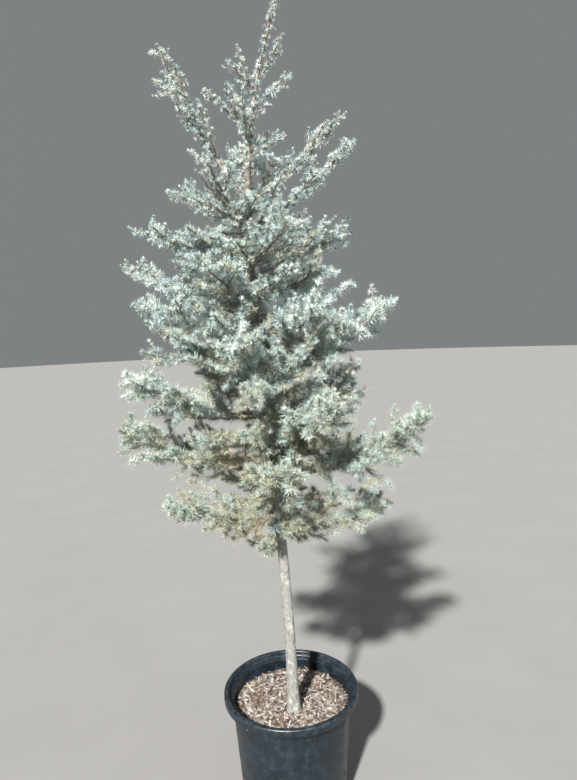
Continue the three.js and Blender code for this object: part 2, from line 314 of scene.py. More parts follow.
# Camera, light and floor

view = {"back": 1.73415, "height": 1.50706, "down": 0.11, "turn": 0.01703, "roll": -0.04}
lens = {"focalPixels": 586.0, "longSidePixels": 780.0, "sensor": 36.0}
lamps = {
    "key": {"from": (-1.05, -3.0, 2.6), "spread": 3, "strength": 10.1, "colour": (1.0, 0.98, 0.94)},
    "fill": {"from": (2.6, -1.8, 1.2), "spread": 60, "strength": 1.1, "colour": (0.92, 0.96, 1.0)},
}
room = {"glow": srgb(196, 202, 206), "strength": 0.33, "backdrop": srgb(126, 130, 131)}
floorForm = {"colour": srgb(130, 129, 127), "clouds": 0.96, "radius": 30.0, "sideCount": 96}


def setCamera():
    turn, down, roll = view["turn"], view["down"], view["roll"]
    forward = Vector((math.sin(turn) * math.cos(down), math.cos(turn) * math.cos(down), -math.sin(down)))
    level = Vector((math.cos(turn), -math.sin(turn), 0))
    over = level.cross(forward)
    right = level * math.cos(roll) + over * math.sin(roll)
    top = over * math.cos(roll) - level * math.sin(roll)
    camera = linked("camera", bpy.data.cameras.new("camera"))
    camera.data.lens = lens["focalPixels"] * lens["sensor"] / lens["longSidePixels"]
    camera.data.sensor_width = lens["sensor"]
    camera.data.clip_start = 0.01
    axes = Matrix((right, top, -forward)).transposed().to_4x4()
    camera.matrix_world = Matrix.Translation((0, -view["back"], view["height"])) @ axes
    bpy.context.scene.camera = camera


def setLights():
    for name, lamp in lamps.items():
        light = linked(name, bpy.data.lights.new(name, "SUN"))
        light.data.angle = lamp["spread"] * degree
        light.data.energy = lamp["strength"]
        light.data.color = lamp["colour"]
        light.location = lamp["from"]
        light.rotation_euler = Vector(lamp["from"]).to_track_quat("Z", "Y").to_euler()
    world = bpy.data.worlds.new("studio")
    world.use_nodes = True
    graph = Graph(world.node_tree)
    glow = graph.node("ShaderNodeBackground", {}, {"Color": room["glow"], "Strength": room["strength"]})
    backdrop = graph.node("ShaderNodeBackground", {}, {"Color": room["backdrop"]})
    seen = graph.node("ShaderNodeLightPath", out="Is Camera Ray")
    both = graph.node("ShaderNodeMixShader", {}, {0: seen, 1: glow, 2: backdrop})
    graph.node("ShaderNodeOutputWorld", {}, {"Surface": both})
    bpy.context.scene.world = world
    bpy.context.scene.view_settings.view_transform = "Standard"


def paintFloor(graph):
    clouds = graph.spots(graph.place(), 0.4, 3, 0.35, 0.65)
    darker = tinted(floorForm["colour"], [floorForm["clouds"]] * 3)
    graph.surface(graph.mix(clouds, darker, floorForm["colour"]), 0.85)


def setFloor():
    ring = ringAt(floorForm["radius"], -mm, turnsOf(floorForm["sideCount"]))
    mesh = newMesh("floor", ring, [list(range(len(ring)))])
    newPiece("floor", mesh, newMaterial("paleFloor", paintFloor))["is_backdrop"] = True


setCamera()
setLights()
setFloor()
print("camera, light and floor set")


# Growth rule, in millimetres and degrees

trunkSizes = {
    "foot": (6, -56, 335.3), "top": 2390, "end": 2215, "swayLeft": 75, "swayTipRight": 30, "swayBack": 24,
    "footRadius": 17.5, "tipRadius": 1.4, "taper": 0.68, "flare": 7, "flareHeight": 34, "spans": 39,
}
footX, footY, footHeight = trunkSizes["foot"]
sides = ["right", "back", "left", "front"]
# a tier's boughs go to these sides, with a reach of 0 for none
tierParts = ("height", "reach", "rise", "upturn", "turn")
tiers = [dict(zip(tierParts, row)) for row in (
    ((929, 965, 943, 915), (320, 280, 325, 190), (-3, 0, -2, 6), 30, 10),
    ((1069, 1105, 1083, 1047), (475, 380, 460, 320), (5, 5, 5, 5), 36, -10),
    ((1219, 1255, 1255, 1197), (290, 420, 415, 370), (10, 10, 8, 10), 22, 28),
    ((1400, 1395, 1373, 1337), (405, 380, 340, 340), (14, 14, 14, 14), 22, -14),
    ((1474, 1510, 1480, 1452), (250, 390, 370, 310), (12, 12, 8, 12), 18, 38),
    ((1584, 1620, 1590, 1562), (230, 360, 440, 320), (11, 11, 6, 11), 14, -24),
    ((1689, 1725, 1695, 1667), (325, 350, 300, 290), (11, 11, 7, 11), 16, 16),
    ((1775, 1820, 1800, 1762), (370, 330, 250, 270), (28, 31, 18, 31), 20, -20),
    ((1836, 1870, 1848, 1812), (390, 300, 445, 0), (37, 37, 56, 37), 14, 14),
)]
boughForm = {
    "jitter": {"reach": 0.03, "height": 9, "bearing": 7, "rise": 3, "curl": 16},
    "footRadius": 3, "radiusPerReach": 0.0075, "tipRadius": 1.1, "taper": 0.8,
    "limbFrom": 380, "bareLeast": 34, "barePerReach": 0.12,
}
# name, height, bearing, length and rise of the short shoots on the trunk
trunkShoots = [
    ("low_shoot", 852, 215, 75, 8),
    ("leader_shoot_1", 1925, 80, 200, 44), ("leader_shoot_2", 1975, 338, 105, 20),
    ("leader_shoot_3", 2005, 262, 140, 42), ("leader_shoot_4", 2050, 188, 145, 36),
    ("leader_shoot_5", 2080, 135, 125, 48), ("leader_shoot_6", 2112, 6, 130, 34),
    ("leader_shoot_7", 2140, 222, 115, 58), ("leader_shoot_8", 2180, 8, 125, 52),
]
trunkShootForm = {"upturn": 12, "curl": 6, "rootRadius": 3.2, "tipRadius": 1.6}
leaderForm = {"rings": 7, "overlap": 1, "point": 14}
clearance = 2.2  # between the growth of one mass and the next
seeds = {
    "bough": 100, "foliage": 500, "trunkShoot": 700, "leader": 720, "fine": 3000, "knots": 3071,
    "inner": 5000, "tufts": 9000,
}

# the side shoots of the solids, then the finer growth between and upon them
sideGrowth = {
    "spacing": 64, "share": 0.38, "least": 48, "firstAt": 0.6, "stopShort": 22, "upturn": 12, "curl": 14,
    "angle": 52, "angleSpread": 8, "riseShare": 0.55, "lift": 9, "liftSpread": 14, "band": 36,
    "rootRadius": 2.6, "tipRadius": 1.4, "ofStem": 0.8, "lengthJitter": 0.18, "spacingJitter": 0.15,
    "keep": 3, "margin": 0,
}
fillGrowth = {
    **sideGrowth, "angle": 50, "angleSpread": 18, "lift": 6, "liftSpread": 58, "band": 12, "rootRadius": 1.8,
    "tipRadius": 1.0, "lengthJitter": 0.4, "spacingJitter": 0.3, "keep": 2, "firstAt": 0.9, "stopShort": 14,
    "margin": 13,
}
twigGrowth = {
    **fillGrowth, "spacing": 21, "share": 0.24, "least": 17, "angle": 48, "angleSpread": 12, "lift": 3,
    "liftSpread": 44, "band": 9, "rootRadius": 1.4, "tipRadius": 0.9, "firstAt": 1.1, "stopShort": 16,
}
fillHeights = (1000, 1250, 1450, 1700, 1850, 2050)
fillByHeight = {
    "least": (32, 36, 42, 40, 39, 4), "share": (0.24, 0.24, 0.19, 0.21, 0.28, 0.32),
    "spacing": (9.5, 10, 14, 14.5, 15.5, 26), "angle": (42, 46, 50, 50, 48, 52),
    "lift": (10, 4, 6, 22, 22, 8), "liftSpread": (44, 56, 58, 40, 38, 32),
}
leaderFill = {"least": 8, "share": 0.12, "spacing": 28}
# shoots that stand on the trunk between the boughs and fill the middle of the crown
innerShoots = {
    "from": 1010, "to": 1800, "heights": (1050, 1320, 1480, 1660, 1800),
    "spacings": (10, 6.5, 11, 13, 20), "spacingJitter": 0.3, "lengths": (220, 260, 260, 235, 140),
    "lengthJitter": 0.4, "turn": 137.5, "rise": 14, "riseJitter": 20, "upturn": 14, "curl": 10, "band": 12,
    "rootRadius": 2.4, "tipRadius": 1.1, "free": 3, "keep": 2,
}


class RandomStream:
    # minimal standard generator: the same numbers each run, one stream for each limb
    def __init__(self, seed):
        self.state = (seed * 7919 + 104729) % 2147483647
        self.next()
        self.next()

    def next(self):
        self.state = self.state * 48271 % 2147483647
        return self.state / 2147483647

    def around(self, spread):
        return (2 * self.next() - 1) * spread

    def above(self, least, spread):
        return least + spread * self.next()


def headingOf(bearing, rise):
    bearing, rise = bearing * degree, rise * degree
    level = math.cos(rise)
    return np.array([level * math.cos(bearing), level * math.sin(bearing), math.sin(rise)])


def trunkShare(height):
    return (height - footHeight) / (trunkSizes["top"] - footHeight)


def trunkMiddle(height):
    share = trunkShare(height)
    sway = -trunkSizes["swayLeft"] * math.sin(math.pi * share**2) + trunkSizes["swayTipRight"] * share**8
    return np.array([footX + sway, footY + trunkSizes["swayBack"] * share, height])


def trunkRadius(height):
    tip = trunkSizes["tipRadius"]
    body = tip + (trunkSizes["footRadius"] - tip) * max(0, 1 - trunkShare(height)) ** trunkSizes["taper"]
    return body + trunkSizes["flare"] * math.exp(-(height - footHeight) / trunkSizes["flareHeight"])


def limbCourse(start, bearing, rise, upturn, curl, length, band):
    steps = max(2, math.floor(length / band + 0.5))
    points = [start]
    for i in range(steps):
        share = (i + 0.5) / steps
        heading = headingOf(bearing + curl * share, rise + upturn * share**1.5)
        points.append(points[-1] + heading * (length / steps))
    return np.array(points)


def headings(points):
    along = np.vstack([points[1:2] - points[:1], points[2:] - points[:-2], points[-1:] - points[-2:-1]])
    return along / np.linalg.norm(along, axis=1)[:, None]


def runAlong(points):
    return np.concatenate([[0], np.cumsum(np.linalg.norm(np.diff(points, axis=0), axis=1))])


def boughPlan(tierIndex, side):
    tier, form, jitter = tiers[tierIndex], boughForm, boughForm["jitter"]
    index = tierIndex * len(sides) + side
    random = RandomStream(seeds["bough"] + index)
    reach = tier["reach"][side] * (1 + random.around(jitter["reach"]))
    height = tier["height"][side] + random.around(jitter["height"])
    bearing = side * 90 + tier["turn"] + random.around(jitter["bearing"])
    rise = tier["rise"][side] + random.around(jitter["rise"])
    curl = random.around(jitter["curl"])
    points = limbCourse(trunkMiddle(height), bearing, rise, tier["upturn"], curl, reach, sideGrowth["band"])
    foot = form["footRadius"] + reach * form["radiusPerReach"]
    share = 1 - np.arange(len(points)) / (len(points) - 1)
    radii = form["tipRadius"] + (foot - form["tipRadius"]) * share ** form["taper"]
    bare = trunkRadius(height) + form["bareLeast"] + reach * form["barePerReach"]
    hasLimb = tier["reach"][side] >= form["limbFrom"]
    split = max(2, math.floor(bare / reach * (len(points) - 1) + 0.5)) if hasLimb else 0
    name = f"tier{tierIndex + 1}_{sides[side]}"
    return {"name": name, "points": points, "radii": radii, "split": split, "seed": seeds["foliage"] + index}


def plannedMasses(boughs):
    masses = []

    def add(name, points, radii, seed):
        masses.append({"name": name, "points": points, "radii": radii, "seed": seed})

    for bough in boughs:
        split = bough["split"]
        add("foliage_" + bough["name"], bough["points"][split:], bough["radii"][split:], bough["seed"])
    form, band = trunkShootForm, sideGrowth["band"]
    for index, (name, height, bearing, length, rise) in enumerate(trunkShoots):
        points = limbCourse(trunkMiddle(height), bearing, rise, form["upturn"], form["curl"], length, band)
        radii = np.linspace(form["rootRadius"], form["tipRadius"], len(points))
        add(name, points, radii, seeds["trunkShoot"] + index)
    low, high = trunkSizes["end"] - leaderForm["overlap"], trunkSizes["top"] - leaderForm["point"]
    heights = np.linspace(low, high, leaderForm["rings"])
    points = np.array([trunkMiddle(z) for z in heights])
    add("leader_foliage", points, np.array([trunkRadius(z) for z in heights]), seeds["leader"])
    return masses


def spansOf(courses):
    starts = np.vstack([points[:-1] for points in courses])
    spans = np.vstack([np.diff(points, axis=0) for points in courses])
    firsts = np.cumsum([0] + [len(points) - 1 for points in courses[:-1]])
    return starts, spans, firsts


def distancesTo(places, courses):
    # from each place to each course
    starts, spans, firsts = courses
    away = places[:, None, :] - starts
    share = np.clip((away * spans).sum(2) / (spans * spans).sum(1), 0, 1)
    apart = np.linalg.norm(away - share[..., None] * spans, axis=2)
    return np.minimum.reduceat(apart, firsts, axis=1)


boughs = [boughPlan(t, s) for t, tier in enumerate(tiers) for s in range(4) if tier["reach"][s] > 0]
limbs = [bough for bough in boughs if bough["split"] > 0]
masses = plannedMasses(boughs)
massSpans = spansOf([mass["points"] for mass in masses])
limbSpans = spansOf([limb["points"][: limb["split"] + 1] for limb in limbs])
limbRadii = np.array([limb["radii"][0] for limb in limbs])
trunkHeights = np.linspace(footHeight, trunkSizes["end"], trunkSizes["spans"] + 1)
trunkSpans = spansOf([np.array([trunkMiddle(z) for z in trunkHeights])])
tableHeights = np.linspace(0, 2400, 600)
tableRadii = np.array([trunkRadius(max(z, footHeight)) for z in tableHeights])


def clearOfLimbs(places):
    heights = np.clip(places[:, 2], footHeight, trunkSizes["end"])
    besideTrunk = np.interp(heights, tableHeights, tableRadii) + clearance
    offTrunk = distancesTo(places, trunkSpans)[:, 0] >= besideTrunk
    return offTrunk & (distancesTo(places, limbSpans) > limbRadii + clearance).all(1)


def inOwnSpace(places, owner):
    apart = distancesTo(places, massSpans)
    own = apart[:, owner].copy()
    apart[:, owner] = np.inf
    return (apart > own[:, None] + clearance).all(1)


def inBox(places, margin):
    low, high = np.array(cadLow) / mm + margin, np.array(cadHigh) / mm - margin
    return ((places > low) & (places < high)).all(-1)


def mayReach(places, owner, margin=0):
    return inOwnSpace(places, owner) & clearOfLimbs(places) & inBox(places, margin)


def firstRefusal(allowed):
    return len(allowed) if allowed.all() else int(np.argmin(allowed))


def growShoots(owner, stem, radii, growth, random):
    # shoots leave the stem left and right by turns, and are cut short where they would leave its space
    along = headings(stem)
    stepLength = np.linalg.norm(stem[1] - stem[0])
    length = stepLength * (len(stem) - 1)
    shoots = []
    hand = 1 if random.next() < 0.5 else -1
    at = growth["spacing"] * growth["firstAt"]
    while at < length - growth["stopShort"]:
        index = min(len(stem) - 2, math.floor(at / stepLength))
        heading = along[index]
        start = stem[index] + (stem[index + 1] - stem[index]) * (at / stepLength - index)
        wanted = growth["least"] + (length - at) * growth["share"]
        shootLength = wanted * (1 + random.around(growth["lengthJitter"]))
        turn = hand * (growth["angle"] + random.around(growth["angleSpread"]))
        bearing = math.atan2(heading[1], heading[0]) / degree + turn
        lift = growth["lift"] + random.around(growth["liftSpread"])
        rise = math.asin(heading[2]) / degree * growth["riseShare"] + lift
        curl = -hand * growth["curl"]
        course = limbCourse(start, bearing, rise, growth["upturn"], curl, shootLength, growth["band"])
        hand = -hand
        at += growth["spacing"] * (1 + random.around(growth["spacingJitter"]))
        kept = 1 + firstRefusal(mayReach(course[1:], owner, growth["margin"]))
        if kept < growth["keep"]:
            continue
        root = min(growth["rootRadius"], radii[index] * growth["ofStem"])
        taper = root + (growth["tipRadius"] - root) * np.arange(kept) / kept
        shoots.append({"points": course[:kept], "radii": taper, "owner": owner})
    return shoots


def smoothCourse(points, radii, step):
    # a curve through the points, set out again in even steps
    ends = np.vstack([2 * points[:1] - points[1:2], points, 2 * points[-1:] - points[-2:-1]])
    t = np.linspace(0, 1, 7)[:-1, None, None]
    a, b, c, d = ends[:-3], ends[1:-2], ends[2:-1], ends[3:]
    fine = 0.5 * (2 * b + (c - a) * t + (2 * a - 5 * b + 4 * c - d) * t**2 + (3 * b - a - 3 * c + d) * t**3)
    fine = np.vstack([fine.transpose(1, 0, 2).reshape(-1, 3), points[-1:]])
    run = runAlong(fine)
    at = np.linspace(0, run[-1], max(2, round(run[-1] / step)) + 1)
    places = np.stack([np.interp(at, run, fine[:, axis]) for axis in range(3)], axis=1)
    share = np.linspace(0, len(points) - 1, len(fine))
    girth = np.interp(np.interp(at, run, share), np.arange(len(points)), radii)
    return places, girth


def framesAlong(points, steepFrom=0.96):
    # heading, across and over at each point, turned as little as possible on the way
    along = headings(points)
    steep = abs(along[0][2]) >= steepFrom
    across = np.cross(along[0], np.array([0.0, 1.0, 0.0]) if steep else upward)
    acrossList = []
    for heading in along:
        across = across - heading * (across @ heading)
        across = across / np.linalg.norm(across)
        acrossList.append(across)
    acrossAll = np.array(acrossList)
    return along, acrossAll, np.cross(acrossAll, along)


# Every shoot of the tree: order 0 is a stem, 1 a side shoot, 2 a fill shoot, 3 a twig

shootForm = {"step": 8, "crook": 1.3, "crookLength": 46, "crookFrom": 30, "tipDrawn": 11, "tipRadius": 0.8}


def crooked(places, random):
    # a slight zigzag that grows from nothing at the root
    run = np.arange(len(places)) * shootForm["step"]
    ease = np.clip(run / shootForm["crookFrom"], 0, 1)
    phases = [2 * math.pi * random.next() for _ in range(3)]
    waves = [np.sin(2 * math.pi * run / shootForm["crookLength"] + phase) for phase in phases]
    return places + np.stack(waves, axis=1) * (ease * shootForm["crook"])[:, None]


def finishedShoot(shoot, order, random):
    points, radii = shoot["points"], shoot["radii"]
    tip = points[-1] + headings(points)[-1] * shootForm["tipDrawn"]
    radii = np.append(radii, shootForm["tipRadius"])
    places, girth = smoothCourse(np.vstack([points, tip]), radii, shootForm["step"])
    return {**shoot, "points": crooked(places, random), "radii": girth, "order": order}


def shootsOnTrunk(random):
    form = innerShoots
    found, z, bearing = [], form["from"], 0.0
    while z < form["to"]:
        length = np.interp(z, form["heights"], form["lengths"]) * (1 + random.around(form["lengthJitter"]))
        rise = form["rise"] + random.around(form["riseJitter"])
        curl = random.around(form["curl"])
        course = limbCourse(trunkMiddle(z), bearing, rise, form["upturn"], curl, length, form["band"])
        allowed = clearOfLimbs(course) & inBox(course, fillGrowth["margin"])
        allowed[: form["free"]] = True
        kept = firstRefusal(allowed)
        bearing += form["turn"]
        z += np.interp(z, form["heights"], form["spacings"]) * (1 + random.around(form["spacingJitter"]))
        if kept > form["free"] + form["keep"]:
            radii = np.linspace(form["rootRadius"], form["tipRadius"], kept)
            owner = int(np.argmin(distancesTo(course[kept - 1][None], massSpans)[0]))
            found.append({"points": course[:kept], "radii": radii, "owner": owner, "free": True})
    return found


def fillOf(mass):
    # the low boughs are broad plumes, the high ones spread, and the leader's shoots stay slender
    if mass["name"].startswith("leader"):
        return {**fillGrowth, **leaderFill}
    height = mass["points"][-1][2]
    return {**fillGrowth, **{name: np.interp(height, fillHeights, row) for name, row in fillByHeight.items()}}


def allShoots():
    shoots = []
    for index, mass in enumerate(masses):
        stem = {"points": mass["points"], "radii": mass["radii"], "owner": index}
        stem["slender"] = mass["name"].startswith("leader")
        fine = RandomStream(seeds["fine"] + index)
        side = growShoots(index, mass["points"], mass["radii"], sideGrowth, RandomStream(mass["seed"]))
        fill = growShoots(index, mass["points"], mass["radii"], fillOf(mass), fine)
        twigs = []
        for shoot in side:
            twigs += growShoots(index, shoot["points"], shoot["radii"], twigGrowth, fine)
        for order, group in enumerate([[stem], side, fill, twigs]):
            shoots += [finishedShoot(shoot, order, fine) for shoot in group]
    random = RandomStream(seeds["inner"])
    for shoot in shootsOnTrunk(random):
        shoots.append(finishedShoot(shoot, 1, random))
        twigs = growShoots(shoot["owner"], shoot["points"], shoot["radii"], twigGrowth, random)
        shoots += [finishedShoot(twig, 3, random) for twig in twigs]
    return shoots


shoots = allShoots()
for order in range(4):
    lengths = [runAlong(shoot["points"])[-1] for shoot in shoots if shoot["order"] == order]
    print("order", order, "has", len(lengths), "shoots,", round(sum(lengths) * mm, 1), "m")


# Bark

def paintTrunkBark(graph):
    place = graph.place()
    height = graph.height(place)
    flecks = graph.spots(graph.place((1, 1, 4.5)), 0.006, 3, 0.54, 0.66)
    cracks = graph.spots(graph.place((1, 1, 0.22)), 0.0045, 4, 0.56, 0.68)
    lichen = graph.spots(place, 0.021, 4, 0.52, 0.64)
    grey = graph.mix(graph.grain(place, 0.009), srgb(112, 112, 109), srgb(154, 154, 150))
    pink = graph.mix(graph.grain(place, 0.007), srgb(84, 78, 73), srgb(134, 125, 117))
    colour = graph.mix(graph.step(height, 1.15, 1.75), grey, pink)
    colour = graph.mix(lichen * 0.55, colour, srgb(188, 190, 176))
    colour = graph.mix(flecks * 0.6, colour, srgb(92, 82, 72))
    colour = graph.mix(cracks * graph.step(height, 0.95, 0.4) * 0.75, colour, srgb(74, 66, 58))
    relief = graph.grain(place, 0.003, 5) * 0.5 + flecks * 0.5 - cracks * 0.6
    graph.surface(colour, graph.step(lichen, 0, 1, 0.72, 0.9), relief, 0.0012)


def paintBoughBark(graph):
    place = graph.place()
    shade = graph.spots(place, 0.006, 4, 0.36, 0.66)
    lower = graph.mix(shade, srgb(112, 100, 90), srgb(180, 172, 160))
    upper = graph.mix(shade, srgb(84, 77, 72), srgb(140, 131, 123))
    colour = graph.mix(graph.step(graph.height(place), 1.1, 1.7), lower, upper)
    colour = graph.mix(graph.spots(place, 0.016, 3, 0.56, 0.68) * 0.5, colour, srgb(172, 168, 158))
    graph.surface(colour, 0.86, graph.grain(place, 0.0022, 4), 0.0008)


def paintTwig(dark, light):
    def paint(graph):
        place = graph.place()
        colour = graph.mix(graph.spots(place, 0.005, 3, 0.35, 0.68), dark, light)
        graph.surface(colour, 0.8, graph.grain(place, 0.0015, 3), 0.0005)
    return paint


trunkBark = newMaterial("trunkBark", paintTrunkBark)
boughBark = newMaterial("boughBark", paintBoughBark)
olderTwigBark = newMaterial("olderTwigBark", paintTwig(srgb(92, 80, 72), srgb(156, 142, 128)))
youngTwigBark = newMaterial("youngTwigBark", paintTwig(srgb(130, 114, 100), srgb(184, 169, 150)))

trunkSkin = {
    "sideCount": 44, "ring": 3.2, "wave": 0.05, "waveWidth": 0.9, "waveLength": 46, "fleck": 0.64,
    "fleckFrom": 0.12, "fleckWidth": 7, "fleckLength": 2.6, "crack": 0.9, "crackFrom": 0.5, "crackSharp": 3.4,
    "crackWidth": 5, "crackLength": 38, "crackAside": 9, "crackFade": 240,
}
collars = {"height": 3.4, "above": 2, "widthPerRadius": 2, "thinTrunk": 12}
knots = {"count": 9, "from": 400, "to": 900, "radius": 7, "height": 2.6}
boughSkin = {
    "sideCount": 10, "ring": 4.5, "wave": 0.2, "waveWidth": 0.8, "waveLength": 9, "collar": 0.9,
    "collarLength": 7,
}


def lumps(x, y, z, octaves=3):
    return noise.fractal(Vector((x, y, z)), 1.0, 2.1, octaves)


def trunkMesh():
    # level rings, with horizontal flecks, cracks at the foot, a collar under each bough and healed knots
    skin, length = trunkSkin, trunkSizes["end"] - footHeight
    heights = footHeight + length * np.linspace(0, 1, round(length / skin["ring"]) + 1)
    turns = turnsOf(skin["sideCount"])
    random = RandomStream(seeds["knots"])
    bumps = []
    for bough in boughs:
        root = bough["points"][0]
        away = bough["points"][1] - root
        width = bough["radii"][0] * collars["widthPerRadius"]
        bumps.append((root[2] + collars["above"], math.atan2(away[1], away[0]), collars["height"], width))
    for _ in range(knots["count"]):
        z = random.above(knots["from"], knots["to"] - knots["from"])
        bumps.append((z, 2 * math.pi * random.next(), knots["height"], knots["radius"]))
    corners = []
    for z in heights:
        middle, radius = trunkMiddle(z), trunkRadius(z)
        extra = np.zeros(len(turns))
        for at, bearing, rise, width in bumps:
            if abs(z - at) < 4 * width:
                across = np.angle(np.exp(1j * (turns - bearing))) * radius
                thin = min(1, radius / collars["thinTrunk"])
                extra += rise * np.exp(-(across**2 + (z - at) ** 2) / width**2) * thin
        cracked = math.exp(-(z - footHeight) / skin["crackFade"])
        for turn, bump in zip(turns, extra):
            c, s = math.cos(turn), math.sin(turn)
            width = skin["waveWidth"]
            wave = lumps(c * width, s * width, z / skin["waveLength"]) * skin["wave"] * radius
            width = skin["fleckWidth"]
            fleck = lumps(c * radius / width, s * radius / width, z / skin["fleckLength"]) - skin["fleckFrom"]
            width, aside = skin["crackWidth"], skin["crackAside"]
            crack = abs(lumps(c * radius / width + aside, s * radius / width, z / skin["crackLength"]))
            crack = max(0.0, skin["crackFrom"] - crack * skin["crackSharp"])
            out = radius + wave + max(0.0, fleck) * skin["fleck"] - crack * skin["crack"] * cracked + bump
            corners.append(((middle[0] + out * c) * mm, (middle[1] + out * s) * mm, z * mm))
    return newMesh("trunk_bark", corners, tubeFaces(len(heights), len(turns)))


def boughMesh():
    # every bough from inside the trunk to its tip, swollen at its foot and knobbly with old spurs
    skin = boughSkin
    turns = turnsOf(skin["sideCount"])
    corners, faces = [], []
    for number, bough in enumerate(boughs):
        places, girth = smoothCourse(bough["points"], bough["radii"], skin["ring"])
        _, across, over = framesAlong(places)
        inside = trunkRadius(places[0][2])
        first = len(corners)
        for i, place in enumerate(places):
            run = i * skin["ring"] - inside
            swell = 1 + skin["collar"] * math.exp(-max(0.0, run) / skin["collarLength"])
            for turn in turns:
                c, s = math.cos(turn), math.sin(turn)
                width = skin["waveWidth"]
                wave = lumps(c * width + number, s * width, i * skin["ring"] / skin["waveLength"])
                out = girth[i] * swell * (1 + skin["wave"] * wave)
                corners.append((place + (across[i] * c + over[i] * s) * out) * mm)
        faces += tubeFaces(len(places), len(turns), first)
    return newMesh("bough_bark", corners, faces)


foliageNodes = [mass["name"] for mass in masses]
limbNodes = ["bough_" + limb["name"] for limb in limbs]
handOver(newPiece("trunk_bark", trunkMesh(), trunkBark), ["trunk"])
handOver(newPiece("bough_bark", boughMesh(), boughBark), limbNodes)


# Twigs: joined tubes along the courses

def twigTree(material, form):
    graph, geometry, sizes = newTree("twigs", form)
    curves = graph.node("GeometryNodeMeshToCurve", {}, {"Mesh": geometry})
    ring = graph.node("GeometryNodeCurvePrimitiveCircle", {}, {"Resolution": sizes["Sides"], "Radius": 1.0})
    values = {"Curve": curves, "Profile Curve": ring, "Scale": graph.carried("girth"), "Fill Caps": True}
    return closeTree(graph, graph.node("GeometryNodeCurveToMesh", {}, values), material)


def twigPiece(name, group, material, form):
    corners = np.vstack([shoot["points"] for shoot in group]) * mm
    girth = np.concatenate([shoot["radii"] for shoot in group]) * mm
    edges, first = [], 0
    for shoot in group:
        edges += [(first + i, first + i + 1) for i in range(len(shoot["points"]) - 1)]
        first += len(shoot["points"])
    mesh = newMesh(name, corners, edges=edges)
    carry(mesh, "girth", "FLOAT", girth.astype(np.float32))
    piece = runTree(name, mesh, twigTree(material, form), form)
    piece.data.shade_smooth()
    handOver(piece, foliageNodes)


trunkGrown = [i for i, mass in enumerate(masses) if not mass["name"].startswith("foliage_")]
older = [s for s in shoots if s["order"] == 1 or (s["order"] == 0 and s["owner"] in trunkGrown)]
twigPiece("twigs_older", older, olderTwigBark, {"Sides": 5})
twigPiece("twigs_young", [s for s in shoots if s["order"] > 1], youngTwigBark, {"Sides": 4})


# Needles: tufts on short spurs all along the shoots, and single needles at their tips

tuftForm = {
    "spacing": {0: 11, 1: 10, 2: 9.5, 3: 10}, "spacingJitter": 0.2, "turn": 137.5, "lean": 30,
    "leanJitter": 0.4, "lift": 0.22, "rooted": 0.7, "spur": 3.5, "needles": 26, "spread": 1.42, "least": 0.82,
    "sizeSpread": 0.3, "shootTone": 0.55, "ownTone": 0.45, "firstAt": (0.4, 0.5),
    "heights": (1150, 1500, 1700, 1950), "sizes": (1.34, 1.17, 0.86, 0.67), "gaps": (1.05, 1.0, 0.86, 0.92),
    "stemGaps": (1, 1.1, 1.4, 1.6), "bareUnder": 0.2, "slenderGap": 0.9, "reach": 10,
}
tipForm = {
    "length": 20, "from": 0.6, "step": 4.5, "needles": 10, "spread": 0.95, "least": 0.62, "sizeSpread": 0.16,
}
# on young shoots of the lower boughs the needles stand singly, like a brush
brushForm = {
    "heights": (1350, 1700), "shares": (0.6, 0.12), "stemsBelow": 1330, "spread": 1.25, "lift": 0.12,
    "shoot": {"step": 4.5, "needles": 9, "size": 1.34}, "stem": {"step": 3, "needles": 13, "size": 1.5},
    "least": 0.9, "sizeSpread": 0.2,
}
trunkTufts = {
    "from": 1700, "fullFrom": 1930, "spacing": 8, "sparse": 2.2, "rise": 18, "needles": 23, "least": 0.85,
    "sizeSpread": 0.25,
}
# a tuft is a row: its place, its facing, then these
sizeAt, countAt, spreadAt, spurAt, toneAt = 6, 7, 8, 9, 10
seenSpur, hiddenSpur, noSpur = 1.0, 0.5, 0.0


def ageSize(height):
    # the needles of the lower, older boughs are longer
    return np.interp(height, tuftForm["heights"], tuftForm["sizes"])


